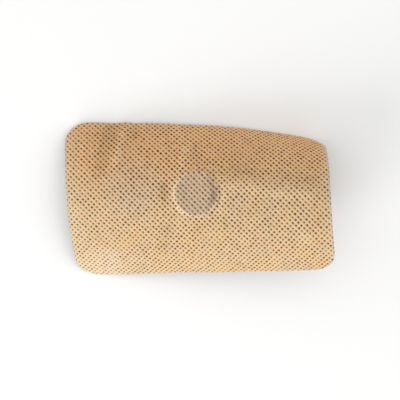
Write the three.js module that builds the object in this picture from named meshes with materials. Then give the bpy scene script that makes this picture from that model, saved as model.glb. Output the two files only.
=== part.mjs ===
// A perforated adhesive patch with a disc under its middle, in the curve that it was worn in.
// Millimetres, +Z up. The sheet is laid out flat, along its length and across it, then wrapped on a
// cone, and at last turned to lie as the stiff shell comes to rest.
import * as THREE from 'three'
import { ConvexHull } from 'three/addons/math/ConvexHull.js'

// Sheet, measured flat on its outer face
const patchLength = 120
const patchWidth = 80
const cornerRadius = 11
const fabricThickness = 0.5
const adhesiveThickness = 0.3

// Glue line between two layers that are stuck together
const glueLine = 0.05

// Perforations: dimples in staggered rows, as deep as the holes are before the adhesive fills them
const holePitchAlong = 3.0
const holePitchAcross = 3.14
const holeDepth = 0.4
const hemWidth = 0.8

// Disc under the sheet
const discDiameter = 19
const discThickness = 1.2
const discBevel = 0.25
const discAlong = -0.6
const discAcross = 2.6
const discSink = 0.7
const discClearance = 0.3

// Band of fabric that slopes down from the disc's rim
const skirtWidth = 1.6

// The worn curve: radius under the outer face at the patch's middle, half angle of the taper, and
// the turn of the patch's length away from the cone's length
const wornRadius = 41
const taperAngle = THREE.MathUtils.degToRad(9)
const turnAngle = THREE.MathUtils.degToRad(9.4)

// Fineness of the facets
const edgeStepAlong = 5.5
const edgeStepAcross = 3.6
const cornerSteps = 6
const innerStepAlong = 8
const innerStepAcross = 5
const roundSides = 40
const skirtSteps = 3

// Small shift of points that lie on one straight line, so that the triangulation keeps them all, and
// the angle past a half turn at which a diagonal is flipped
const straightLineBend = 1e-7
const flipAngle = 1e-6

const innerDepth = fabricThickness + glueLine + adhesiveThickness
const adhesiveDepth = fabricThickness + glueLine
const discRise = discThickness - discSink + glueLine
const plateauRadius = discDiameter / 2 + discClearance
const skirtRadius = plateauRadius + skirtWidth

const up = new THREE.Vector3(0, 0, 1)

// Wrapping on the cone, which has its point towards +X
const coneReach = wornRadius / Math.sin(taperAngle)

const coneFrame = (along, across) => {
  const lengthwise = along * Math.cos(turnAngle) - across * Math.sin(turnAngle)
  const sideways = along * Math.sin(turnAngle) + across * Math.cos(turnAngle)
  const reach = Math.hypot(coneReach - lengthwise, sideways)
  const round = Math.atan2(sideways, coneReach - lengthwise) / Math.sin(taperAngle)
  const radius = reach * Math.sin(taperAngle)
  const point = new THREE.Vector3(
    (coneReach - reach) * Math.cos(taperAngle),
    radius * Math.sin(round),
    radius * Math.cos(round) - wornRadius
  )
  const normal = new THREE.Vector3(
    Math.sin(taperAngle),
    Math.cos(taperAngle) * Math.sin(round),
    Math.cos(taperAngle) * Math.cos(round)
  )
  return { point, normal }
}

const discFrame = coneFrame(discAlong, discAcross)

// Place of a point that lies at a depth below the outer face: it follows the cone, and over the disc
// it lies in a plane parallel to the disc
const place = (flat, depth) => {
  const { point, normal } = coneFrame(flat.x, flat.y)
  const above = point.clone().sub(discFrame.point).dot(discFrame.normal)
  const overDisc = (discRise - depth - above) / normal.dot(discFrame.normal)
  const reach = Math.hypot(flat.x - discAlong, flat.y - discAcross)
  const offDisc = THREE.MathUtils.smoothstep(reach, plateauRadius, skirtRadius)
  return point.addScaledVector(normal, THREE.MathUtils.lerp(overDisc, -depth, offDisc))
}

// Flat loops, all counter-clockwise
const straightRun = (from, to, step) => {
  const count = Math.max(1, Math.round(from.distanceTo(to) / step))
  return Array.from({ length: count }, (_, i) => from.clone().lerp(to, i / count))
}

const patchOutline = () => {
  const halfLength = patchLength / 2 - cornerRadius
  const halfWidth = patchWidth / 2 - cornerRadius
  const corners = [
    [halfLength, -halfWidth, -Math.PI / 2, edgeStepAcross],
    [halfLength, halfWidth, 0, edgeStepAlong],
    [-halfLength, halfWidth, Math.PI / 2, edgeStepAcross],
    [-halfLength, -halfWidth, Math.PI, edgeStepAlong]
  ]
  const arcs = corners.map(([x, y, start]) =>
    Array.from({ length: cornerSteps + 1 }, (_, i) => {
      const angle = start + (i / cornerSteps) * (Math.PI / 2)
      return new THREE.Vector2(x + cornerRadius * Math.cos(angle), y + cornerRadius * Math.sin(angle))
    })
  )
  return arcs.flatMap((arc, i) => {
    const next = arcs[(i + 1) % arcs.length]
    const sideStep = corners[i][3]
    return [...arc.slice(0, -1), ...straightRun(arc[cornerSteps], next[0], sideStep)]
  })
}

const circleRoundDisc = (radius) =>
  Array.from({ length: roundSides }, (_, i) => {
    const angle = (i / roundSides) * 2 * Math.PI
    return new THREE.Vector2(discAlong + radius * Math.cos(angle), discAcross + radius * Math.sin(angle))
  })

// Distance to the flat outline, negative inside it
const outsideEdge = (flat) => {
  const x = Math.abs(flat.x) - (patchLength / 2 - cornerRadius)
  const y = Math.abs(flat.y) - (patchWidth / 2 - cornerRadius)
  return Math.hypot(Math.max(x, 0), Math.max(y, 0)) + Math.min(Math.max(x, y), 0) - cornerRadius
}

const fromDisc = (flat) => Math.hypot(flat.x - discAlong, flat.y - discAcross)
const inField = (flat) => outsideEdge(flat) < -hemWidth && fromDisc(flat) > skirtRadius + hemWidth
const onPlateau = (flat) => fromDisc(flat) < plateauRadius - hemWidth

// Cells of a lattice, each a counter-clockwise loop of corners. A dimple also has a low middle.
const gridPoint = (column, row, stepAlong, stepAcross) =>
  new THREE.Vector2(column * stepAlong, row * stepAcross)

const latticeReach = (size, step) => Math.ceil(size / 2 / step) + 1

const dimpleCells = (inZone) => {
  const halfAlong = holePitchAlong / 2
  const halfAcross = holePitchAcross / 2
  const columns = latticeReach(patchLength, halfAlong)
  const rows = latticeReach(patchWidth, halfAcross)
  const cells = []
  for (let column = -columns; column <= columns; column++) {
    for (let row = -rows; row <= rows; row++) {
      if ((column + row) % 2 !== 0) continue
      const middle = gridPoint(column, row, halfAlong, halfAcross)
      const corners = [[1, 0], [0, 1], [-1, 0], [0, -1]].map(([x, y]) =>
        gridPoint(column + x, row + y, halfAlong, halfAcross)
      )
      if (corners.every(inZone)) cells.push({ corners, middle })
    }
  }
  return cells
}

const plainCells = (inZone) => {
  const columns = latticeReach(patchLength, innerStepAlong)
  const rows = latticeReach(patchWidth, innerStepAcross)
  const cells = []
  for (let column = -columns; column <= columns; column++) {
    for (let row = -rows; row <= rows; row++) {
      const corners = [[0, 0], [1, 0], [1, 1], [0, 1]].map(([x, y]) =>
        gridPoint(column + x, row + y, innerStepAlong, innerStepAcross)
      )
      if (corners.every(inZone)) cells.push({ corners })
    }
  }
  return cells
}

// Loops round the cells: counter-clockwise on their outside, clockwise round an opening in them
const nameOf = (flat) => `${flat.x.toFixed(4)},${flat.y.toFixed(4)}`

const loopsRound = (cells) => {
  const edges = new Map()
  for (const { corners } of cells) {
    corners.forEach((from, i) => {
      const to = corners[(i + 1) % corners.length]
      edges.set(`${nameOf(from)} ${nameOf(to)}`, { from, to })
    })
  }
  const leaving = new Map()
  for (const { from, to } of edges.values()) {
    if (!edges.has(`${nameOf(to)} ${nameOf(from)}`)) leaving.set(nameOf(from), to)
  }
  const loops = []
  while (leaving.size > 0) {
    const loop = []
    let [name] = leaving.keys()
    while (leaving.has(name)) {
      const point = leaving.get(name)
      leaving.delete(name)
      loop.push(point)
      name = nameOf(point)
    }
    loops.push(loop)
  }
  return loops
}

const turnOf = (a, b, c) => (b.x - a.x) * (c.y - a.y) - (b.y - a.y) * (c.x - a.x)

const cornerAngle = (at, a, b) => {
  const first = a.clone().sub(at)
  const second = b.clone().sub(at)
  return Math.abs(first.angleTo(second))
}

// Flips the diagonal of two neighbouring triangles wherever that makes them less thin
const evenOut = (points, triangles) => {
  let flipped = true
  while (flipped) {
    flipped = false
    const seen = new Map()
    const changed = new Set()
    triangles.forEach((triangle, number) => {
      triangle.forEach((a, i) => {
        const b = triangle[(i + 1) % 3]
        const far = triangle[(i + 2) % 3]
        const other = seen.get(`${b} ${a}`)
        seen.set(`${a} ${b}`, { number, far })
        if (!other || changed.has(number) || changed.has(other.number)) return
        const [start, end, near, across] = [a, b, far, other.far].map((index) => points[index])
        const facing = cornerAngle(near, start, end) + cornerAngle(across, start, end)
        if (facing < Math.PI + flipAngle) return
        if (turnOf(near, start, across) <= 0 || turnOf(near, across, end) <= 0) return
        triangles[number] = [far, a, other.far]
        triangles[other.number] = [far, other.far, b]
        changed.add(number)
        changed.add(other.number)
        flipped = true
      })
    })
  }
  return triangles
}

// Flat triangles between a loop and the loops inside it
const bend = (flat) =>
  new THREE.Vector2(
    flat.x * (1 + straightLineBend * flat.y * flat.y),
    flat.y * (1 + straightLineBend * flat.x * flat.x)
  )

const fillBetween = (outer, inners) => {
  const points = [outer, ...inners].flat()
  const bent = points.map(bend)
  const faces = THREE.ShapeUtils.triangulateShape(outer.map(bend), inners.map((loop) => loop.map(bend)))
  const wound = faces.map(([a, b, c]) => (turnOf(bent[a], bent[b], bent[c]) < 0 ? [a, c, b] : [a, b, c]))
  return evenOut(points, wound).map((face) => face.map((index) => ({ flat: points[index], dimple: false })))
}

const fillCell = ({ corners, middle }) => {
  const ring = corners.map((flat) => ({ flat, dimple: false }))
  if (!middle) return [[ring[0], ring[1], ring[2]], [ring[0], ring[2], ring[3]]]
  const low = { flat: middle, dimple: true }
  return ring.map((corner, i) => [low, corner, ring[(i + 1) % ring.length]])
}

// A zone of the sheet: its cells, and plain bands from them to the loops that bound the zone
const fillZone = (cells, outer, inner) => {
  const loops = loopsRound(cells)
  const outsides = loops.filter((loop) => THREE.ShapeUtils.area(loop) > 0)
  const openings = loops.filter((loop) => THREE.ShapeUtils.area(loop) < 0)
  const bands = [
    ...fillBetween(outer, openings.length > 0 || !inner ? outsides : [...outsides, inner]),
    ...openings.flatMap((loop) => fillBetween(loop.toReversed(), inner ? [inner] : []))
  ]
  return [...cells.flatMap(fillCell), ...bands]
}

const skirtFaces = () => {
  const circles = Array.from({ length: skirtSteps + 1 }, (_, i) =>
    circleRoundDisc(plateauRadius + (i / skirtSteps) * skirtWidth).map((flat) => ({ flat, dimple: false }))
  )
  return circles.slice(1).flatMap((outer, i) =>
    outer.flatMap((corner, k) => {
      const next = (k + 1) % roundSides
      const inner = circles[i]
      return [[inner[k], corner, outer[next]], [inner[k], outer[next], inner[next]]]
    })
  )
}

// One face of the sheet as flat triangles
const sheetFace = (makeCells) => [
  ...fillZone(makeCells(onPlateau), circleRoundDisc(plateauRadius)),
  ...skirtFaces(),
  ...fillZone(makeCells(inField), patchOutline(), circleRoundDisc(skirtRadius))
]

// A closed solid between two depths below the outer face, with a rim along the outline
const layerGeometry = (topFace, topDepth, bottomFace, bottomDepth) => {
  const positions = []
  const numbers = new Map()
  const indices = []
  const corner = ({ flat, dimple }, depth) => {
    const ownDepth = dimple ? depth + holeDepth : depth
    const name = `${nameOf(flat)} ${ownDepth}`
    if (!numbers.has(name)) {
      numbers.set(name, numbers.size)
      positions.push(...place(flat, ownDepth).toArray())
    }
    return numbers.get(name)
  }
  for (const [a, b, c] of topFace) indices.push(...[a, b, c].map((point) => corner(point, topDepth)))
  for (const [a, b, c] of bottomFace) indices.push(...[c, b, a].map((point) => corner(point, bottomDepth)))
  const rim = patchOutline().map((flat) => ({ flat, dimple: false }))
  rim.forEach((from, i) => {
    const to = rim[(i + 1) % rim.length]
    const low = [corner(from, bottomDepth), corner(to, bottomDepth)]
    const high = [corner(from, topDepth), corner(to, topDepth)]
    indices.push(low[0], low[1], high[1], low[0], high[1], high[0])
  })
  const geometry = new THREE.BufferGeometry()
  geometry.setAttribute('position', new THREE.Float32BufferAttribute(positions, 3))
  geometry.setIndex(indices)
  geometry.computeVertexNormals()
  return geometry
}

// Pieces
const pieceMesh = (name, geometry, look) => {
  const mesh = new THREE.Mesh(geometry, new THREE.MeshStandardMaterial(look))
  mesh.name = name
  return mesh
}

const backingSheet = () => {
  const look = { color: 0xdfbf92, roughness: 0.95, metalness: 0, flatShading: true }
  const geometry = layerGeometry(sheetFace(dimpleCells), 0, sheetFace(plainCells), fabricThickness)
  return pieceMesh('backing_sheet', geometry, look)
}

const adhesiveLayer = () => {
  const look = { color: 0x6b4a27, roughness: 0.35, metalness: 0, flatShading: true }
  const face = sheetFace(plainCells)
  return pieceMesh('adhesive_layer', layerGeometry(face, adhesiveDepth, face, innerDepth), look)
}

const centerDisc = () => {
  const look = { color: 0x77797b, roughness: 0.55, metalness: 0.1, flatShading: true }
  const radius = discDiameter / 2
  const half = discThickness / 2
  const profile = [
    [0, -half],
    [radius - discBevel, -half],
    [radius, discBevel - half],
    [radius, half - discBevel],
    [radius - discBevel, half],
    [0, half]
  ].map(([x, y]) => new THREE.Vector2(x, y))
  const mesh = pieceMesh('center_disc', new THREE.LatheGeometry(profile, roundSides), look)
  mesh.quaternion.setFromUnitVectors(new THREE.Vector3(0, 1, 0), discFrame.normal)
  mesh.position.copy(discFrame.point).addScaledVector(discFrame.normal, half - innerDepth - discSink)
  return mesh
}

// The way up of the shell at rest: of the planes that touch its rim at three points below its balance
// point, the one that the balance point lies lowest over
const restingUp = () => {
  const outline = patchOutline()
  const rim = [0, innerDepth].flatMap((depth) => outline.map((flat) => place(flat, depth)))
  const cells = plainCells((flat) => outsideEdge(flat) < 0)
  const balance = new THREE.Vector3()
  for (const { corners } of cells) {
    const middle = corners[0].clone().lerp(corners[2], 0.5)
    balance.addScaledVector(place(middle, innerDepth), 1 / cells.length)
  }
  let best = null
  for (const face of new ConvexHull().setFromPoints(rim).faces) {
    if (face.normal.dot(up) > 0) continue
    const height = face.constant - face.normal.dot(balance)
    const foot = balance.clone().addScaledVector(face.normal, height)
    const feet = [face.getEdge(0), face.getEdge(1), face.getEdge(2)].map((edge) => edge.head().point)
    const standsOver = new THREE.Triangle(...feet).containsPoint(foot)
    if (standsOver && (!best || height < best.height)) best = { height, normal: face.normal }
  }
  return best.normal.clone().negate()
}

// Turn to rest, with the patch's length along X, and stand on Z = 0 at the middle of the outer box
const layAtRest = (group) => {
  const upward = restingUp()
  const lengthwise = new THREE.Vector3(Math.cos(turnAngle), -Math.sin(turnAngle), 0)
  lengthwise.addScaledVector(upward, -lengthwise.dot(upward)).normalize()
  const crosswise = new THREE.Vector3().crossVectors(upward, lengthwise)
  const restFrame = new THREE.Matrix4().makeBasis(lengthwise, crosswise, upward)
  group.quaternion.setFromRotationMatrix(restFrame.transpose())
  group.updateMatrixWorld(true)
  const box = new THREE.Box3().setFromObject(group, true)
  const center = box.getCenter(new THREE.Vector3())
  group.position.set(-center.x, -center.y, -box.min.z)
}

const patch = new THREE.Group()
patch.add(backingSheet(), adhesiveLayer(), centerDisc())
layAtRest(patch)

export default patch
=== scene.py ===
import math
import random

import bmesh
import bpy
import numpy as np
from mathutils import Matrix, Vector


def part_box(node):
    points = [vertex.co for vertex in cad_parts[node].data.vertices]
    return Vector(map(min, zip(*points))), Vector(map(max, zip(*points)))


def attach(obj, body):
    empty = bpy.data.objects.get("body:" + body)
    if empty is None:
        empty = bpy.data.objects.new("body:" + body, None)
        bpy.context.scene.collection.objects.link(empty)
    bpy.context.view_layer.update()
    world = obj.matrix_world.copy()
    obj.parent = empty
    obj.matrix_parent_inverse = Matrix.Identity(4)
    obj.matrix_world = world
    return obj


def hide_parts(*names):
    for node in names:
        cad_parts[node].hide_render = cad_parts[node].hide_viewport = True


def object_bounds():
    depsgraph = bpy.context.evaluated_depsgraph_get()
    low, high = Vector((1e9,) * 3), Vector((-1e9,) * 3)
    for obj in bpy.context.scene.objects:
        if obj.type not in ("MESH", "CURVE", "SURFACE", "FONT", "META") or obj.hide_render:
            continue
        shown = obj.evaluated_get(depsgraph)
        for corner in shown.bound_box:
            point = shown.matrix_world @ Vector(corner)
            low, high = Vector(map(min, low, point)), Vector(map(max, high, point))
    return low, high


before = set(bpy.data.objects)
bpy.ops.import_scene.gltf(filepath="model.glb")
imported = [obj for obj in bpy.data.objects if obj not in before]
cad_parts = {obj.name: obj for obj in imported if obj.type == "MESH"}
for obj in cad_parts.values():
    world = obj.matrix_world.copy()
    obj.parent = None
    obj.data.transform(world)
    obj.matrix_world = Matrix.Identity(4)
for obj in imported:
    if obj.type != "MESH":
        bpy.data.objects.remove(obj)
cad_low, cad_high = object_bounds()

# Sheet, measured flat on its outer face, in metres
MM = 0.001
PATCH_LENGTH = 120 * MM
PATCH_WIDTH = 80 * MM
CORNER_RADIUS = 11 * MM
FABRIC_THICKNESS = 0.5 * MM
ADHESIVE_THICKNESS = 0.3 * MM
GLUE_LINE = 0.05 * MM

# Disc under the sheet
DISC_DIAMETER = 19 * MM
DISC_THICKNESS = 1.2 * MM
DISC_BEVEL = 0.25 * MM
DISC_ALONG = -0.6 * MM
DISC_ACROSS = 2.6 * MM
DISC_SINK = 0.7 * MM
DISC_CLEARANCE = 0.3 * MM
SKIRT_WIDTH = 1.6 * MM

# The worn curve, a cone
WORN_RADIUS = 41 * MM
TAPER = math.radians(9)
TURN = math.radians(9.4)

# Perforations in staggered rows
HOLE_PITCH_ALONG = 2.5 * MM
HOLE_PITCH_ACROSS = 2.62 * MM
HOLE_RADIUS = 0.35 * MM
HOLE_RADIUS_SPREAD = 0.3
HOLE_STRAY = 0.11 * MM
HOLE_STRETCH = 1.15
HOLE_DIP = 0.22 * MM
HOLE_DIP_REACH = 0.46 * MM
RIDGE_HEIGHT = 0.1 * MM
RIDGE_CHANGE = (-34 * MM, -8 * MM)

# The adhesive stands up a little in each hole, and is hollow under it
ADHESIVE_BULGE = 0.08 * MM
ADHESIVE_HOLLOW = 0.06 * MM

# The outer face rolls down along the cut edge
EDGE_ROLL = 0.22 * MM
EDGE_ROLL_REACH = 1.8 * MM

# Soft creases: flat start and end, half width and height, all in millimetres. A hollow has a minus.
CREASES = [
    ((-38.5, 42.0), (-45.0, 9.0), 2.8, -0.75),
    ((-31.5, 42.0), (-38.0, 14.0), 1.6, 0.7),
    ((-26.5, 42.0), (-28.0, 27.0), 2.4, -0.6),
    ((-5.0, 26.0), (-8.0, 11.0), 1.5, 0.6),
    ((0.5, 28.0), (0.0, 12.0), 2.6, -0.5),
    ((-15.0, 9.0), (-15.5, -3.0), 1.8, -0.5),
    ((11.5, 0.5), (18.0, 2.5), 0.9, 0.4),
    ((-13.0, -10.0), (-18.5, -27.0), 2.6, -0.35),
    ((-51.0, 31.0), (-52.0, 6.0), 2.6, 0.4),
    ((14.0, 6.0), (62.0, -3.0), 3.4, 0.7),
    ((16.0, 13.5), (62.0, 4.5), 4.0, -0.4),
    ((40.0, -8.0), (50.0, -26.0), 3.4, 0.25),
]

# Shares of a crease's length over which it rises and dies away
CREASE_RISE = (-0.15, 0.1)
CREASE_FALL = (0.6, 1.1)

# Share of a crease's height that is left at the cut edge, and how far in from there it is full
EDGE_SHARE = 0.45
EDGE_FLATTENING = 6 * MM

# Slow waves all over: height, and for each way the length, the length of the sideways swing and its size
UNEVENNESS = 0.16 * MM
SLOW_WAVES = ((5.3 * MM, 9.1 * MM, 1.3), (6.7 * MM, 11.3 * MM, 1.7))

# Directions on the flat sheet, from the disc's middle, of the painted highlight on its rim and of a thin
# painted highlight line
RIM_FACING = (-0.99, 0.05, 0)
RIM_LINE_FACING = (0.88, -0.47, 0)

# Darker and paler places on the fabric, some of them painted shade as marked: flat place, radii where it
# starts and stops fading, share, shade
SHADE_AND_TONE_PATCHES = [
    # Greyer
    ((-30, 6), 4, 20, 0.35, (196, 176, 156)),
    # Painted shade in the hollow below and left of the disc
    ((-15, -13), 1, 5, 0.3, (172, 144, 104)),
    ((-18, -22), 1, 6, 0.25, (172, 146, 104)),
    # Painted shade along the upper side of the sheet
    ((20, 24), 6, 26, 0.15, (196, 148, 104)),
    ((52, 20), 3, 16, 0.2, (192, 146, 104)),
    ((-38, 34), 4, 16, 0.25, (190, 146, 92)),
    # Painted shade in the hollow beside the disc's left edge
    ((-15, 3), 0.5, 5, 0.3, (190, 140, 96)),
    # Greyer over the disc's left part
    ((-6.5, 4.5), 0.5, 4, 0.35, (150, 134, 120)),
    # Painted shade over the disc's shaded right side
    ((7.6, 0.8), 0.8, 3.6, 0.35, (118, 100, 94)),
    # Paler towards the lower left corner
    ((-48, -34), 4, 18, 0.4, (240, 222, 196)),
]

# Loose fibres along the cut edge: sizes, and ranges as shares of the length or of the fabric's thickness
FIBRE_SEED = 7
FIBRE_COUNT = 1500
FIBRE_LENGTH = 0.75 * MM
FIBRE_RADIUS = 0.022 * MM
FIBRE_LENGTHS = (0.4, 1.0)
FIBRE_LEAN = 1.2
FIBRE_ROOT = (0.25, 0.8)
FIBRE_DIVE = (-0.5, 0.3)
FIBRE_SAG = 0.15
FIBRE_ANCHOR = 3

# Share of the way along a fibre, and its radius there as a share of the full one
FIBRE_TAPER = ((0, 1.0), (0.5, 0.8), (1, 0.35))

# Facets
CORNER_STEPS = 12
RESTING_CORNER_STEPS = 6
BALANCE_GRID = (61, 41)
FINE_FROM = 8.6 * MM
FINE_TO = 12.2 * MM
DISC_SIDES = 96
BEVEL_STEPS = 4
WELD = 0.02 * MM
ON_LINE = 1e-8

# Uneven factors that make the numbers of neighbouring holes unlike
COLUMN_FACTOR = 127.1
ROW_FACTOR = 311.7
SEED_FACTOR = 74.7
SPREAD_FACTOR = 4375.85

# The photograph's view in the worn frame: turns, distance, middle and scale
VIEW_ROLL = math.radians(-6.4545)
VIEW_PITCH = math.radians(-15.1514)
VIEW_AZIMUTH = math.radians(0.1901)
VIEW_DISTANCE = 800 * MM
VIEW_CENTRE = (-1.0577 * MM, 0.5045 * MM)
VIEW_PIXELS_PER_METRE = 2212.1
IMAGE_WIDTH = 400
SENSOR_WIDTH_MM = 36.0
CLIP_START = 0.01
CLIP_END = 20

# Stage
FLOOR_REACH = 3.0
FLOOR_SHADE = (252, 252, 251)
SKY_STRENGTH = 0.75
LOWEST_LIGHT = 0.12

# Depths below the sheet's outer face
ADHESIVE_DEPTH = FABRIC_THICKNESS + GLUE_LINE
INNER_DEPTH = ADHESIVE_DEPTH + ADHESIVE_THICKNESS
DISC_RISE = DISC_THICKNESS - DISC_SINK + GLUE_LINE
PLATEAU_RADIUS = DISC_DIAMETER / 2 + DISC_CLEARANCE
CONE_REACH = WORN_RADIUS / math.sin(TAPER)


# Wrapping the flat sheet on a cone with its point towards +X
def cone_frame(along, across):
    lengthwise = along * math.cos(TURN) - across * math.sin(TURN)
    sideways = along * math.sin(TURN) + across * math.cos(TURN)
    reach = np.hypot(CONE_REACH - lengthwise, sideways)
    around = np.arctan2(sideways, CONE_REACH - lengthwise) / math.sin(TAPER)
    radius = reach * math.sin(TAPER)
    place = [
        (CONE_REACH - reach) * math.cos(TAPER),
        radius * np.sin(around),
        radius * np.cos(around) - WORN_RADIUS,
    ]
    away = [
        np.full_like(reach, math.sin(TAPER)),
        math.cos(TAPER) * np.sin(around),
        math.cos(TAPER) * np.cos(around),
    ]
    return np.stack(place, -1), np.stack(away, -1)


def smooth(value, low, high):
    share = np.clip((value - low) / (high - low), 0, 1)
    return share * share * (3 - 2 * share)


disc_points, disc_normals = cone_frame(np.array([DISC_ALONG]), np.array([DISC_ACROSS]))
DISC_POINT = disc_points[0]
DISC_NORMAL = disc_normals[0]


def from_disc(along, across):
    return np.hypot(along - DISC_ALONG, across - DISC_ACROSS)


def slow_wave(main, other, length, swing_length, swing):
    return np.sin(main / length + swing * np.sin(other / swing_length))


def crease_lift(along, across):
    """How far creases and slow waves lift the sheet off the cone."""
    lift = np.zeros_like(along)
    for start, end, half_width, height in CREASES:
        a = np.array(start) * MM
        b = np.array(end) * MM
        run = b - a
        share = ((along - a[0]) * run[0] + (across - a[1]) * run[1]) / run.dot(run)
        gap = np.abs((along - a[0]) * run[1] - (across - a[1]) * run[0]) / np.linalg.norm(run)
        fade = smooth(share, *CREASE_RISE) * (1 - smooth(share, *CREASE_FALL))
        lift += height * MM * fade * np.exp(-((gap / (half_width * MM)) ** 2))
    waves = slow_wave(along, across, *SLOW_WAVES[0]) + slow_wave(across, along, *SLOW_WAVES[1])
    off_disc = smooth(from_disc(along, across), PLATEAU_RADIUS, PLATEAU_RADIUS + 2 * SKIRT_WIDTH)
    near_edge = 1 - smooth(-outside_edge(along, across), 0, EDGE_FLATTENING)
    lift *= 1 - (1 - EDGE_SHARE) * near_edge
    return (lift + UNEVENNESS * waves / 2) * off_disc


def worn(along, across, depth):
    """A flat place's point on the cone, at a depth below the sheet's outer face."""
    point, away = cone_frame(along, across)
    above = (point - DISC_POINT) @ DISC_NORMAL
    over_disc = (DISC_RISE - depth - above) / (away @ DISC_NORMAL)
    off_disc = smooth(from_disc(along, across), PLATEAU_RADIUS, PLATEAU_RADIUS + SKIRT_WIDTH)
    height = over_disc * (1 - off_disc) - depth * off_disc + crease_lift(along, across)
    return point + away * height[:, None]


# Flat outline of the sheet, counter-clockwise
def corner_arc(x, y, start, steps):
    turns = start + np.linspace(0, math.pi / 2, steps + 1)
    return [(x + CORNER_RADIUS * math.cos(t), y + CORNER_RADIUS * math.sin(t)) for t in turns]


def flat_outline(steps=CORNER_STEPS):
    x = PATCH_LENGTH / 2 - CORNER_RADIUS
    y = PATCH_WIDTH / 2 - CORNER_RADIUS
    starts = [(x, -y, -math.pi / 2), (x, y, 0), (-x, y, math.pi / 2), (-x, -y, math.pi)]
    return [point for corner in starts for point in corner_arc(*corner, steps)]


def outside_edge(along, across):
    """How far a flat place lies outside the outline, with a minus inside it."""
    x = np.abs(along) - (PATCH_LENGTH / 2 - CORNER_RADIUS)
    y = np.abs(across) - (PATCH_WIDTH / 2 - CORNER_RADIUS)
    return np.hypot(np.maximum(x, 0), np.maximum(y, 0)) + np.minimum(np.maximum(x, y), 0) - CORNER_RADIUS


# The worn shell's way up at rest: it stands on the three rim points whose plane lies below its
# balance point, and of such planes on the one that the balance point lies lowest over
def resting_up():
    rim = np.array(flat_outline(RESTING_CORNER_STEPS))
    faces = [worn_bare(rim[:, 0], rim[:, 1], depth) for depth in (0.0, INNER_DEPTH)]
    middle = balance_point()
    hull = bmesh.new()
    for point in np.concatenate(faces):
        hull.verts.new(point)
    bmesh.ops.convex_hull(hull, input=hull.verts)
    best = None
    for face in hull.faces:
        face.normal_update()
        if face.normal.z > 0:
            continue
        height = face.normal.dot(face.verts[0].co - middle)
        foot = middle + face.normal * height
        if stands_over(face, foot) and (best is None or height < best[0]):
            best = (height, -face.normal)
    hull.free()
    return best[1]


def worn_bare(along, across, depth):
    """A flat place's point without the disc and the creases."""
    point, away = cone_frame(along, across)
    return point - away * depth


def balance_point():
    columns = np.linspace(-0.5, 0.5, BALANCE_GRID[0]) * PATCH_LENGTH
    rows = np.linspace(-0.5, 0.5, BALANCE_GRID[1]) * PATCH_WIDTH
    along, across = np.meshgrid(columns, rows)
    inside = outside_edge(along, across) < 0
    points = worn_bare(along[inside], across[inside], INNER_DEPTH)
    return Vector(points.mean(0))


def stands_over(face, foot):
    for loop in face.loops:
        edge = loop.link_loop_next.vert.co - loop.vert.co
        if edge.cross(foot - loop.vert.co).dot(face.normal) < 0:
            return False
    return True


def resting_turn():
    upward = resting_up()
    lengthwise = Vector((math.cos(TURN), -math.sin(TURN), 0))
    lengthwise = (lengthwise - upward * lengthwise.dot(upward)).normalized()
    return Matrix((lengthwise, upward.cross(lengthwise), upward))


def disc_middle():
    return Vector(DISC_POINT + DISC_NORMAL * (DISC_THICKNESS / 2 - INNER_DEPTH - DISC_SINK))


REST_TURN = resting_turn()
disc_low, disc_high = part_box("center_disc")
REST_SHIFT = (disc_low + disc_high) / 2 - REST_TURN @ disc_middle()


def at_rest(points):
    return points @ np.array(REST_TURN.transposed()) + np.array(REST_SHIFT)


# Flat lattice of diamond cells, one round each hole. A cell's corners and the middles of its edges, in
# quarters of the hole distance from the hole
CELL_RING = [(2, 0), (1, 1), (0, 2), (-1, 1), (-2, 0), (-1, -1), (0, -2), (1, -1)]


def scatter(column, row, seed):
    """A number from -1 to 1 that looks random and is the same each time for one hole."""
    wave = np.sin(column * COLUMN_FACTOR + row * ROW_FACTOR + seed * SEED_FACTOR) * SPREAD_FACTOR
    return 2 * (wave - np.floor(wave)) - 1


def hole_place(column, row):
    """Where a hole is punched: its middle strays a little, and its radius is a little off."""
    along = column * HOLE_PITCH_ALONG / 2 + HOLE_STRAY * scatter(column, row, 1)
    across = row * HOLE_PITCH_ACROSS / 2 + HOLE_STRAY * scatter(column, row, 2)
    radius = HOLE_RADIUS * (1 + HOLE_RADIUS_SPREAD * scatter(column, row, 3))
    return along, across, radius


def hole_centres():
    columns = math.ceil(PATCH_LENGTH / HOLE_PITCH_ALONG) + 1
    rows = math.ceil(PATCH_WIDTH / HOLE_PITCH_ACROSS) + 1
    for column in range(-columns, columns + 1):
        for row in range(-rows, rows + 1):
            if (column + row) % 2 == 0:
                along = column * HOLE_PITCH_ALONG / 2
                across = row * HOLE_PITCH_ACROSS / 2
                if outside_edge(along, across) < HOLE_PITCH_ACROSS:
                    yield column, row


def lattice_sheet(with_holes):
    """Flat mesh of the lattice, cut along the outline. Each cell's hole is open, or has a middle point."""
    numbers = {}
    points = []
    faces = []

    def number(key, along, across):
        if key not in numbers:
            numbers[key] = len(points)
            points.append((along, across, 0))
        return numbers[key]

    for column, row in hole_centres():
        along, across, radius = hole_place(column, row)
        outer = []
        inner = []
        for k, (x, y) in enumerate(CELL_RING):
            key = (2 * column + x, 2 * row + y)
            outer.append(number(key, key[0] * HOLE_PITCH_ALONG / 4, key[1] * HOLE_PITCH_ACROSS / 4))
            shift = (x * HOLE_PITCH_ALONG, y * HOLE_PITCH_ACROSS)
            stretch = HOLE_STRETCH if x * y < 0 else 1 / HOLE_STRETCH if x * y > 0 else 1
            reach = radius * stretch / math.hypot(*shift)
            inner.append(number((column, row, k), along + shift[0] * reach, across + shift[1] * reach))
        middle = None if with_holes else number((column, row, "middle"), along, across)
        for k in range(len(outer)):
            after = (k + 1) % len(outer)
            faces.append((outer[k], outer[after], inner[after], inner[k]))
            if middle is not None:
                faces.append((middle, inner[k], inner[after]))
    return cut_along_outline(points, faces)


def in_fine_ring(place):
    return FINE_FROM < math.hypot(place.x - DISC_ALONG, place.y - DISC_ACROSS) < FINE_TO


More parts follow.
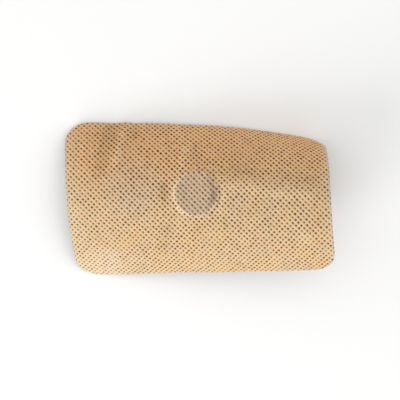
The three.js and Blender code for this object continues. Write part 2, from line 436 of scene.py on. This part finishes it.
def cut_along_outline(points, faces):
    """Points and faces inside the outline, finer round the disc, and the edges along all rims."""
    mesh = bpy.data.meshes.new("flat")
    mesh.from_pydata(points, [], faces)
    flat = bmesh.new()
    flat.from_mesh(mesh)
    bpy.data.meshes.remove(mesh)
    outline = flat_outline()
    for (x, y), (next_x, next_y) in zip(outline, outline[1:] + outline[:1]):
        if math.hypot(next_x - x, next_y - y) > 0:
            everything = flat.verts[:] + flat.edges[:] + flat.faces[:]
            outward = (next_y - y, x - next_x, 0)
            bmesh.ops.bisect_plane(
                flat, geom=everything, dist=ON_LINE, plane_co=(x, y, 0), plane_no=outward, clear_outer=True
            )
    bmesh.ops.remove_doubles(flat, verts=flat.verts, dist=WELD)
    bmesh.ops.dissolve_degenerate(flat, edges=flat.edges, dist=WELD)
    near_disc = [edge for edge in flat.edges if all(in_fine_ring(vert.co) for vert in edge.verts)]
    bmesh.ops.subdivide_edges(flat, edges=near_disc, cuts=1, use_grid_fill=True)
    many_sided = [face for face in flat.faces if len(face.verts) > 4]
    bmesh.ops.triangulate(flat, faces=many_sided)
    flat.verts.index_update()
    cut_points = np.array([vert.co for vert in flat.verts])[:, :2]
    cut_faces = [[vert.index for vert in face.verts] for face in flat.faces]
    rim = [
        (loop.vert.index, loop.link_loop_next.vert.index)
        for face in flat.faces
        for loop in face.loops
        if loop.edge.is_boundary
    ]
    flat.free()
    return cut_points, cut_faces, rim


def rim_distance(along, across):
    """How far a place lies outside the nearest hole's rim, with a minus inside the hole."""
    column = np.round(along / (HOLE_PITCH_ALONG / 2))
    row = np.round(across / (HOLE_PITCH_ACROSS / 2))
    nearest = np.full_like(along, np.inf)
    for x, y in ((0, 0), (1, 0), (-1, 0), (0, 1), (0, -1)):
        is_hole = (column + x + row + y) % 2 == 0
        hole_along, hole_across, radius = hole_place(column + x, row + y)
        gap = np.hypot(along - hole_along, across - hole_across) - radius
        nearest = np.where(is_hole, np.minimum(nearest, gap), nearest)
    return nearest


def ridge_share(along, across):
    """1 on the ridges between slanting rows of holes, 0 along them. Low down they slant the other way."""
    column = along / (HOLE_PITCH_ALONG / 2)
    row = across / (HOLE_PITCH_ACROSS / 2)
    falling = (1 - np.cos(math.pi * (column + row))) / 2
    rising = (1 - np.cos(math.pi * (column - row))) / 2
    share = smooth(across, *RIDGE_CHANGE)
    return falling * share + rising * (1 - share)


def solid_sheet(name, flat, top_depth, bottom_depth):
    """Closed solid between an upper and a lower face over one flat mesh, with walls along all its rims."""
    points, faces, rim = flat
    along, across = points[:, 0], points[:, 1]
    count = len(points)
    depths = np.concatenate([top_depth, bottom_depth])
    both = np.concatenate([points, points])
    places = at_rest(worn(both[:, 0], both[:, 1], depths))
    loops = list(faces)
    loops += [[index + count for index in reversed(face)] for face in faces]
    loops += [[b, a, a + count, b + count] for a, b in rim]
    mesh = bpy.data.meshes.new(name)
    mesh.from_pydata(places.tolist(), [], loops)
    mesh.validate()
    mesh.polygons.foreach_set("use_smooth", [True] * len(mesh.polygons))
    store(mesh, "flat", np.column_stack([both / MM, depths / MM]))
    store(mesh, "hole_gap", rim_distance(both[:, 0], both[:, 1]) / MM)
    store(mesh, "ridge", ridge_share(both[:, 0], both[:, 1]))
    store(mesh, "crease", crease_lift(both[:, 0], both[:, 1]) / MM)
    store(mesh, "edge_gap", -outside_edge(both[:, 0], both[:, 1]) / MM)
    piece = bpy.data.objects.new(name, mesh)
    bpy.context.scene.collection.objects.link(piece)
    return piece


def store(mesh, name, values):
    """Keeps a number or a vector for each point, for the materials to read."""
    if values.ndim == 2:
        layer = mesh.attributes.new(name, "FLOAT_VECTOR", "POINT")
        layer.data.foreach_set("vector", values.astype(np.float32).ravel())
    else:
        layer = mesh.attributes.new(name, "FLOAT", "POINT")
        layer.data.foreach_set("value", values.astype(np.float32))


# Material nodes
class Nodes:
    """Short calls for building one material's nodes."""

    def __init__(self, name):
        self.material = bpy.data.materials.new(name)
        self.material.use_nodes = True
        self.tree = self.material.node_tree
        self.shader = self.tree.nodes["Principled BSDF"]

    def add(self, kind, **settings):
        node = self.tree.nodes.new(kind)
        for key, value in settings.items():
            setattr(node, key, value)
        return node

    def join(self, value, socket):
        if isinstance(value, bpy.types.NodeSocket):
            self.tree.links.new(value, socket)
        else:
            socket.default_value = value

    def number(self, name):
        return self.add("ShaderNodeAttribute", attribute_name=name).outputs["Fac"]

    def vector(self, name):
        return self.add("ShaderNodeAttribute", attribute_name=name).outputs["Vector"]

    def math(self, operation, first, second=0.0):
        node = self.add("ShaderNodeMath", operation=operation)
        self.join(first, node.inputs[0])
        self.join(second, node.inputs[1])
        return node.outputs[0]

    def times(self, first, second):
        return self.math("MULTIPLY", first, second)

    def ramp(self, value, low, high, to_low=0.0, to_high=1.0):
        """Goes smoothly from one value at low to another at high, and stays level outside them."""
        node = self.add("ShaderNodeMapRange", interpolation_type="SMOOTHSTEP")
        for number, socket in zip((value, low, high, to_low, to_high), node.inputs):
            self.join(number, socket)
        return node.outputs[0]

    def noise(self, vector, scale, detail=2.0, roughness=0.5):
        node = self.add("ShaderNodeTexNoise")
        self.join(vector, node.inputs["Vector"])
        node.inputs["Scale"].default_value = scale
        node.inputs["Detail"].default_value = detail
        node.inputs["Roughness"].default_value = roughness
        return node.outputs["Fac"]

    def vector_math(self, operation, vector, other):
        node = self.add("ShaderNodeVectorMath", operation=operation)
        self.join(vector, node.inputs[0])
        self.join(other, node.inputs[1])
        return node

    def flattened(self, vector):
        return self.vector_math("MULTIPLY", vector, (1, 1, 0)).outputs["Vector"]

    def reach(self, vector, direction):
        """How far a place lies in a direction."""
        return self.vector_math("DOT_PRODUCT", vector, direction).outputs["Value"]

    def distance(self, vector, place):
        return self.vector_math("DISTANCE", vector, place).outputs["Value"]

    def shifted(self, vector, step):
        return self.vector_math("ADD", vector, (step, 2 * step, 0)).outputs["Vector"]

    def spot(self, vector, along, across, inner, outer):
        """1 within the inner radius of a place on the sheet, fading to 0 at the outer radius."""
        return self.ramp(self.distance(vector, (along, across, 0)), inner, outer, 1.0, 0.0)

    def band(self, value, middle, half_width):
        """1 where the value is at the middle, fading to 0 at half a width from it."""
        gap = self.math("ABSOLUTE", self.math("SUBTRACT", value, middle))
        return self.ramp(gap, 0.0, half_width, 1.0, 0.0)

    def tint(self, color, place, share, shade):
        """Part of a shade laid over a colour where the place is 1."""
        return self.mix(self.times(place, share), color, colour(*shade))

    def turned(self, vector, angle, stretch=(1, 1, 1)):
        node = self.add("ShaderNodeMapping")
        self.join(vector, node.inputs["Vector"])
        node.inputs["Rotation"].default_value = (0, 0, angle)
        node.inputs["Scale"].default_value = stretch
        return node.outputs[0]

    def waves(self, vector, scale, distortion):
        node = self.add("ShaderNodeTexWave", wave_type="BANDS", bands_direction="X")
        self.join(vector, node.inputs["Vector"])
        node.inputs["Scale"].default_value = scale
        node.inputs["Distortion"].default_value = distortion
        node.inputs["Detail"].default_value = 1.0
        return node.outputs["Fac"]

    def mix(self, share, first, second):
        node = self.add("ShaderNodeMix", data_type="RGBA")
        self.join(share, node.inputs[0])
        self.join(first, node.inputs[6])
        self.join(second, node.inputs[7])
        return node.outputs[2]

    def bump(self, height, distance, strength, under=None):
        node = self.add("ShaderNodeBump")
        self.join(height, node.inputs["Height"])
        node.inputs["Distance"].default_value = distance
        node.inputs["Strength"].default_value = strength
        if under is not None:
            self.join(under, node.inputs["Normal"])
        return node.outputs[0]

    def finish(self, color, roughness, normal=None, **plain):
        """Joins the shader. Other values go by their sockets' names, with _ for a space."""
        self.join(color, self.shader.inputs["Base Color"])
        self.join(roughness, self.shader.inputs["Roughness"])
        if normal is not None:
            self.join(normal, self.shader.inputs["Normal"])
        for key, value in plain.items():
            self.shader.inputs[key.replace("_", " ")].default_value = value
        return self.material


def colour(red, green, blue):
    """A colour given as it looks on a screen, 0 to 255, as Blender's linear values."""
    shares = [value / 255 for value in (red, green, blue)]
    linear = [((share + 0.055) / 1.055) ** 2.4 if share > 0.04045 else share / 12.92 for share in shares]
    return (*linear, 1.0)


# Shades, 0 to 255
BEIGE = (222, 187, 138)
ROSE_BEIGE = (216, 186, 148)
PALE_MOTTLE = (232, 202, 160)
ROSY = (226, 174, 142)
OLIVE = (190, 168, 120)
UPPER_SIDE_SHADE = (232, 166, 102)
DISC_GREY = (180, 163, 147)
RIM_HIGHLIGHT = (250, 226, 194)
DISC_SHADE = (134, 106, 90)
OUTER_HIGHLIGHT = (244, 214, 172)
RIM_LINE_HIGHLIGHT = (250, 226, 196)
RIM_GROOVE_SHADE = (140, 104, 72)
CREST_HIGHLIGHT = (240, 212, 172)
HOLLOW_SHADE = (176, 142, 98)
RIDGE_HIGHLIGHT = (242, 215, 178)
STAIN_AND_SHADE = (110, 66, 16)
PALE_END = (226, 206, 172)
PALE_FAR_END = (220, 202, 176)
FRAYED = (218, 206, 188)
LOOSE_YARN = (226, 210, 190)
ADHESIVE_DARK = (116, 72, 28)
ADHESIVE_LIGHT = (138, 90, 40)
ADHESIVE_GRAIN = (70, 45, 20)
ADHESIVE_HOLE_SHADE = (70, 40, 4)
FLUFF = (150, 108, 62)
ADHESIVE_ON_DISC = (124, 100, 80)
STONE_DARK = (112, 113, 116)
STONE_LIGHT = (138, 138, 139)
STONE_SMEAR = (120, 96, 66)

# Distances from the disc's middle, in millimetres, between which its grey fades out
DISC_FADE = (9.1, 10.0)

# Slant of the slanting rows of holes, which the knit's threads follow
ROW_SLANT = math.radians(43.7)


def disc_tints(nodes, color, level, disc_gap, over_disc):
    """The grey of the disc, a painted highlight on its rim, painted shade on its shaded side, and a thin
    painted highlight line with painted shade in the groove at its foot.
    """
    color = nodes.tint(color, over_disc, share=0.5, shade=DISC_GREY)
    facing = nodes.reach(level, RIM_FACING)
    # Painted highlight on the side of the disc's rim that faces the light
    rim_highlight = nodes.times(nodes.band(disc_gap, middle=10.2, half_width=1.3), nodes.ramp(facing, 2.0, 7.0))
    color = nodes.tint(color, rim_highlight, share=0.55, shade=RIM_HIGHLIGHT)
    shaded = nodes.times(nodes.band(disc_gap, middle=8.0, half_width=2.4), nodes.ramp(facing, -2.0, -8.0))
    color = nodes.tint(color, shaded, share=0.6, shade=DISC_SHADE)
    # Painted highlight outside the disc, beyond its shaded side
    outer = nodes.times(nodes.band(disc_gap, middle=12.2, half_width=1.8), nodes.ramp(facing, -7.0, -11.0))
    color = nodes.tint(color, outer, share=0.45, shade=OUTER_HIGHLIGHT)
    # Painted highlight in a thin line at the disc's foot towards the lower right, with painted shade in
    # the groove just outside it
    low_right = nodes.ramp(nodes.reach(level, RIM_LINE_FACING), 6.0, 9.0)
    line = nodes.times(nodes.band(disc_gap, middle=10.1, half_width=0.6), low_right)
    color = nodes.tint(color, line, share=0.75, shade=RIM_LINE_HIGHLIGHT)
    groove = nodes.times(nodes.band(disc_gap, middle=10.9, half_width=0.5), low_right)
    return nodes.tint(color, groove, share=0.6, shade=RIM_GROOVE_SHADE)


def hole_tints(nodes, color, level, over_disc):
    """Painted highlights on the ridges, and a brown staining round each hole that is partly painted shade
    and grows deeper up and to the right as painted shade.
    """
    # Painted highlight on the ridges between the slanting rows of holes
    ridge = nodes.ramp(nodes.number("ridge"), 0.5, 1.0)
    ridge_highlight_share = nodes.ramp(nodes.noise(nodes.shifted(level, 60), 0.7, 3.0), 0.35, 0.65, 0.2, 0.75)
    color = nodes.tint(color, ridge, share=ridge_highlight_share, shade=RIDGE_HIGHLIGHT)
    patchy = nodes.ramp(nodes.noise(nodes.shifted(level, 15), 0.6, 3.0), 0.35, 0.65, 0.25, 0.95)
    # Painted shade: the brown round the holes deepens towards the upper side and the right, and darkens
    # the holes' rims
    upward = nodes.ramp(nodes.reach(level, (0, 1, 0)), -30, 20, 0.55, 1.0)
    rightward = nodes.ramp(nodes.reach(level, (1, 0, 0)), -55, -15, 0.6, 1.0)
    off_disc = nodes.ramp(over_disc, 0.0, 1.0, 1.0, 0.55)
    strength = nodes.times(nodes.times(upward, rightward), off_disc)
    stain_and_shade = nodes.times(nodes.ramp(nodes.number("hole_gap"), 0.0, 0.32, 1.0, 0.0), patchy)
    return nodes.tint(color, stain_and_shade, share=strength, shade=STAIN_AND_SHADE)


# Fabric: beige knit, with painted highlights on the ridges, the crests and round the disc, a brown stain
# round each hole that is partly painted shade, painted shade on the upper side, in the hollows and on the
# disc's shaded side, and greyer over the disc
def fabric_material():
    nodes = Nodes("backing_fabric")
    level = nodes.flattened(nodes.vector("flat"))

    patches = nodes.ramp(nodes.noise(level, 0.09, 3.0), 0.35, 0.65)
    color = nodes.mix(patches, colour(*BEIGE), colour(*ROSE_BEIGE))
    mottle = nodes.ramp(nodes.noise(level, 0.75, 3.0, 0.6), 0.3, 0.7)
    color = nodes.tint(color, mottle, share=0.3, shade=PALE_MOTTLE)
    rosy = nodes.ramp(nodes.noise(nodes.shifted(level, 40), 0.22, 3.0, 0.6), 0.52, 0.68)
    color = nodes.tint(color, rosy, share=0.42, shade=ROSY)
    greenish = nodes.ramp(nodes.noise(nodes.shifted(level, 90), 0.2, 3.0, 0.6), 0.52, 0.68)
    color = nodes.tint(color, greenish, share=0.42, shade=OLIVE)
    # Painted shade: a darker, warmer tan laid over the upper side of the sheet
    upper = nodes.ramp(nodes.reach(level, (0, 1, 0)), -2, 22)
    color = nodes.tint(color, upper, share=0.5, shade=UPPER_SIDE_SHADE)
    # Lays on the darker and paler places, most of them painted shade
    for (along, across), inner, outer, share, shade in SHADE_AND_TONE_PATCHES:
        color = nodes.tint(color, nodes.spot(level, along, across, inner, outer), share, shade)

    disc_gap = nodes.distance(level, (DISC_ALONG / MM, DISC_ACROSS / MM, 0))
    over_disc = nodes.ramp(disc_gap, *DISC_FADE, 1.0, 0.0)
    color = disc_tints(nodes, color, level, disc_gap, over_disc)

    crease = nodes.number("crease")
    # Painted highlight on the crests of the creases, and painted shade in their hollows
    color = nodes.tint(color, nodes.ramp(crease, 0.12, 0.5), share=0.3, shade=CREST_HIGHLIGHT)
    color = nodes.tint(color, nodes.ramp(crease, -0.12, -0.5), share=0.35, shade=HOLLOW_SHADE)
    color = hole_tints(nodes, color, level, over_disc)
    along = nodes.reach(level, (1, 0, 0))
    color = nodes.tint(color, nodes.ramp(along, -51, -59), share=0.4, shade=PALE_END)
    color = nodes.tint(color, nodes.ramp(along, 56, 59.5), share=0.4, shade=PALE_FAR_END)
    fray = nodes.ramp(nodes.number("edge_gap"), 0.1, 1.4, 1.0, 0.0)
    color = nodes.tint(color, fray, share=0.3, shade=FRAYED)

    one_way = nodes.waves(nodes.turned(level, ROW_SLANT), 1.15, 2.5)
    other_way = nodes.waves(nodes.turned(level, -ROW_SLANT), 1.15, 2.5)
    threads = nodes.math("ADD", one_way, other_way)
    fibres = nodes.noise(nodes.turned(level, 0.5, (1, 3, 1)), 4.5, 4.0, 0.7)
    groove = nodes.band(disc_gap, middle=10.6, half_width=0.4)
    raised = nodes.math("ADD", over_disc, nodes.times(groove, -0.4))
    normal = nodes.bump(raised, 0.2 * MM, 1.0)
    normal = nodes.bump(threads, 0.03 * MM, 0.6, normal)
    normal = nodes.bump(fibres, 0.09 * MM, 0.8, normal)
    gloss = {"Sheen_Weight": 0.08, "Sheen_Roughness": 0.5, "Specular_IOR_Level": 0.15}
    return nodes.finish(color, 0.92, normal, **gloss)


# Fuzz along the cut edge: the same yarn, paler
def fuzz_material():
    nodes = Nodes("edge_fuzz")
    return nodes.finish(colour(*LOOSE_YARN), 0.95, Sheen_Weight=0.2, Specular_IOR_Level=0.15)


# Adhesive: dark brown, tacky, with a slightly uneven gloss, painted shade down in the holes, and bits of
# fluff in some of the holes
def adhesive_material():
    nodes = Nodes("adhesive")
    flat = nodes.vector("flat")
    level = nodes.flattened(flat)
    clouds = nodes.ramp(nodes.noise(flat, 0.12, 4.0, 0.6), 0.3, 0.7)
    color = nodes.mix(clouds, colour(*ADHESIVE_DARK), colour(*ADHESIVE_LIGHT))
    grain = nodes.ramp(nodes.noise(flat, 2.2, 3.0, 0.6), 0.45, 0.75)
    color = nodes.tint(color, grain, share=0.4, shade=ADHESIVE_GRAIN)
    # Painted shade on the adhesive seen down the holes, lighter where there is fluff
    in_hole = nodes.ramp(nodes.number("hole_gap"), 0.0, -0.15)
    fluff = nodes.ramp(nodes.noise(nodes.shifted(level, 15), 0.6, 3.0), 0.6, 0.35)
    shade_and_fluff = nodes.mix(fluff, colour(*ADHESIVE_HOLE_SHADE), colour(*FLUFF))
    color = nodes.mix(nodes.times(in_hole, 0.75), color, shade_and_fluff)
    over_disc = nodes.spot(level, DISC_ALONG / MM, DISC_ACROSS / MM, *DISC_FADE)
    color = nodes.tint(color, over_disc, share=0.5, shade=ADHESIVE_ON_DISC)
    gloss = nodes.ramp(nodes.noise(flat, 0.5, 3.0), 0.3, 0.7, 0.34, 0.52)
    normal = nodes.bump(nodes.noise(flat, 1.6, 4.0, 0.6), 0.12 * MM, 0.7)
    return nodes.finish(color, gloss, normal, Specular_IOR_Level=0.3, Coat_Weight=0.1, Coat_Roughness=0.25)


# Disc: fine-grained grey, with smears of adhesive
def disc_material():
    nodes = Nodes("disc")
    place = nodes.add("ShaderNodeTexCoord").outputs["Object"]
    grain = nodes.ramp(nodes.noise(place, 3200, 3.0, 0.7), 0.35, 0.7)
    color = nodes.mix(grain, colour(*STONE_DARK), colour(*STONE_LIGHT))
    smears = nodes.ramp(nodes.noise(place, 180, 3.0, 0.6), 0.52, 0.74)
    color = nodes.tint(color, smears, share=0.55, shade=STONE_SMEAR)
    roughness = nodes.ramp(grain, 0.0, 1.0, 0.42, 0.6)
    normal = nodes.bump(nodes.noise(place, 2600, 4.0, 0.7), 0.05 * MM, 0.6)
    return nodes.finish(color, roughness, normal)


def floor_material():
    nodes = Nodes("floor")
    return nodes.finish(colour(*FLOOR_SHADE), 0.9, Specular_IOR_Level=0.1)


# Pieces
def make_fabric(fuzz):
    flat = lattice_sheet(with_holes=True)
    along, across = flat[0][:, 0], flat[0][:, 1]
    from_rim = np.maximum(rim_distance(along, across), 0)
    dip = HOLE_DIP * np.exp(-((from_rim / HOLE_DIP_REACH) ** 2))
    dip += RIDGE_HEIGHT * (1 - ridge_share(along, across))
    roll = EDGE_ROLL * (1 - smooth(-outside_edge(along, across), 0, EDGE_ROLL_REACH))
    fabric = solid_sheet("patch_fabric", flat, dip + roll, np.full_like(along, FABRIC_THICKNESS))
    fabric.data.materials.append(fabric_material())
    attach(fabric, "root")
    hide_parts("backing_sheet")


def fibre(shape, root, tip, sag):
    """A thin three-sided hair from root to tip, bent by the sag and closed at both ends."""
    run = (tip - root).normalized()
    side = run.orthogonal().normalized()
    rings = []
    for share, radius in FIBRE_TAPER:
        middle = root.lerp(tip, share) + sag * 4 * share * (1 - share)
        ring = []
        for k in range(3):
            spoke = Matrix.Rotation(2 * math.pi * k / 3, 3, run) @ side
            ring.append(shape.verts.new(middle + spoke * radius * FIBRE_RADIUS))
        rings.append(ring)
    for low, high in zip(rings, rings[1:]):
        for k in range(3):
            after = (k + 1) % 3
            shape.faces.new((low[k], low[after], high[after], high[k]))
    shape.faces.new(list(reversed(rings[0])))
    shape.faces.new(rings[-1])


def make_edge_fuzz():
    """Short loose fibres that stand out of the die-cut edge."""
    chance = random.Random(FIBRE_SEED)
    outline = np.array(flat_outline())
    after = np.roll(outline, -1, axis=0)
    steps = np.linalg.norm(after - outline, axis=1)
    ends = np.cumsum(steps)
    shape = bmesh.new()
    for _ in range(FIBRE_COUNT):
        along_rim = chance.random() * ends[-1]
        k = int(np.searchsorted(ends, along_rim))
        run = (after[k] - outline[k]) / steps[k]
        start = outline[k] + run * (along_rim - ends[k] + steps[k])
        outward = np.array((run[1], -run[0]))
        length = FIBRE_LENGTH * chance.uniform(*FIBRE_LENGTHS)
        lean = run * chance.uniform(-FIBRE_LEAN, FIBRE_LEAN) + outward
        end = start + lean / np.linalg.norm(lean) * length
        root_depth = chance.uniform(*FIBRE_ROOT) * FABRIC_THICKNESS
        tip_depth = root_depth + chance.uniform(*FIBRE_DIVE) * length
        flats = np.array([start - outward * FIBRE_RADIUS * FIBRE_ANCHOR, end])
        places = at_rest(worn(flats[:, 0], flats[:, 1], np.array([root_depth, tip_depth])))
        sag = Vector([chance.uniform(-1, 1), chance.uniform(-1, 1), chance.uniform(0, 1)])
        sag *= length * FIBRE_SAG
        tip = Vector(places[1])
        tip.z = max(tip.z, FIBRE_RADIUS)
        fibre(shape, Vector(places[0]), tip, sag)
    mesh = bpy.data.meshes.new("edge_fuzz")
    shape.to_mesh(mesh)
    shape.free()
    fuzz = bpy.data.objects.new("edge_fuzz", mesh)
    bpy.context.scene.collection.objects.link(fuzz)
    fuzz.data.materials.append(fuzz_material())
    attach(fuzz, "root")
    return fuzz


def make_adhesive():
    flat = lattice_sheet(with_holes=False)
    along, across = flat[0][:, 0], flat[0][:, 1]
    in_hole = 1 - smooth(rim_distance(along, across), -HOLE_RADIUS, 0)
    off_disc = smooth(from_disc(along, across), PLATEAU_RADIUS, PLATEAU_RADIUS + SKIRT_WIDTH)
    top = ADHESIVE_DEPTH - ADHESIVE_BULGE * in_hole
    bottom = INNER_DEPTH - ADHESIVE_HOLLOW * in_hole * off_disc
    adhesive = solid_sheet("patch_adhesive", flat, top, bottom)
    adhesive.data.materials.append(adhesive_material())
    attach(adhesive, "root")
    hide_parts("adhesive_layer")


def disc_profile():
    """Radius and height of each ring of the disc, from its lower face up."""
    radius = DISC_DIAMETER / 2 - DISC_BEVEL
    base = DISC_BEVEL - DISC_THICKNESS / 2
    arc = [math.pi / 2 * k / BEVEL_STEPS for k in range(BEVEL_STEPS + 1)]
    lower = [(radius + DISC_BEVEL * math.sin(t), base - DISC_BEVEL * math.cos(t)) for t in arc]
    return lower + [(reach, -height) for reach, height in reversed(lower)]


def make_disc():
    profile = disc_profile()
    turn = Vector((0, 0, 1)).rotation_difference(Vector(DISC_NORMAL)).to_matrix()
    shape = bmesh.new()
    rings = []
    for reach, height in profile:
        ring = []
        for k in range(DISC_SIDES):
            angle = 2 * math.pi * k / DISC_SIDES
            local = Vector((reach * math.cos(angle), reach * math.sin(angle), height))
            ring.append(shape.verts.new(REST_TURN @ (disc_middle() + turn @ local) + REST_SHIFT))
        rings.append(ring)
    for low, high in zip(rings, rings[1:]):
        for k in range(DISC_SIDES):
            after = (k + 1) % DISC_SIDES
            shape.faces.new((low[k], low[after], high[after], high[k]))
    shape.faces.new(list(reversed(rings[0])))
    shape.faces.new(rings[-1])
    for face in shape.faces:
        face.smooth = len(face.verts) == 4
    mesh = bpy.data.meshes.new("patch_disc")
    shape.to_mesh(mesh)
    shape.free()
    disc = bpy.data.objects.new("patch_disc", mesh)
    bpy.context.scene.collection.objects.link(disc)
    disc.data.materials.append(disc_material())
    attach(disc, "root")
    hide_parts("center_disc")


# Stage, camera and lights
def camera_axes():
    """The camera's right, up and back directions in the part's frame, as the columns of a matrix."""
    turns = (
        Matrix.Rotation(VIEW_ROLL, 3, "Z")
        @ Matrix.Rotation(VIEW_PITCH, 3, "Y")
        @ Matrix.Rotation(VIEW_AZIMUTH, 3, "X")
    )
    return REST_TURN @ turns.transposed()


def make_camera():
    axes = camera_axes()
    camera_data = bpy.data.cameras.new("camera")
    camera = bpy.data.objects.new("camera", camera_data)
    bpy.context.scene.collection.objects.link(camera)
    place = Vector((-VIEW_CENTRE[0], -VIEW_CENTRE[1], VIEW_DISTANCE))
    camera.matrix_world = Matrix.Translation(axes @ place + REST_SHIFT) @ axes.to_4x4()
    camera_data.sensor_width = SENSOR_WIDTH_MM
    camera_data.lens = SENSOR_WIDTH_MM * VIEW_PIXELS_PER_METRE * VIEW_DISTANCE / IMAGE_WIDTH
    camera_data.clip_start = CLIP_START
    camera_data.clip_end = CLIP_END
    bpy.context.scene.camera = camera


def make_floor():
    mesh = bpy.data.meshes.new("floor")
    signs = ((-1, -1), (1, -1), (1, 1), (-1, 1))
    corners = [(x * FLOOR_REACH, y * FLOOR_REACH, 0) for x, y in signs]
    mesh.from_pydata(corners, [], [(0, 1, 2, 3)])
    floor = bpy.data.objects.new("floor", mesh)
    bpy.context.scene.collection.objects.link(floor)
    floor.data.materials.append(floor_material())


def area_light(name, direction, distance, size, power):
    """A square lamp that faces the patch from a direction given in the camera's right, up and back."""
    data = bpy.data.lights.new(name, "AREA")
    data.size = size
    data.energy = power
    lamp = bpy.data.objects.new(name, data)
    bpy.context.scene.collection.objects.link(lamp)
    away = (camera_axes() @ Vector(direction)).normalized()
    away.z = max(away.z, LOWEST_LIGHT)
    away.normalize()
    middle = (cad_low + cad_high) / 2
    lamp.location = middle + away * distance
    lamp.rotation_euler = away.to_track_quat("Z", "Y").to_euler()


def make_lights():
    world = bpy.data.worlds.new("studio")
    bpy.context.scene.world = world
    world.use_nodes = True
    background = world.node_tree.nodes["Background"]
    background.inputs["Color"].default_value = (1, 1, 1, 1)
    background.inputs["Strength"].default_value = SKY_STRENGTH
    area_light("key", direction=(-0.7, -1.0, 0.4), distance=0.9, size=0.4, power=4.1)
    area_light("fill", direction=(0.3, 0.2, 1.0), distance=1.1, size=0.8, power=1.5)


make_camera()
make_floor()
make_lights()
make_fabric(make_edge_fuzz())
make_adhesive()
make_disc()

bpy.context.scene.view_settings.view_transform = "Standard"
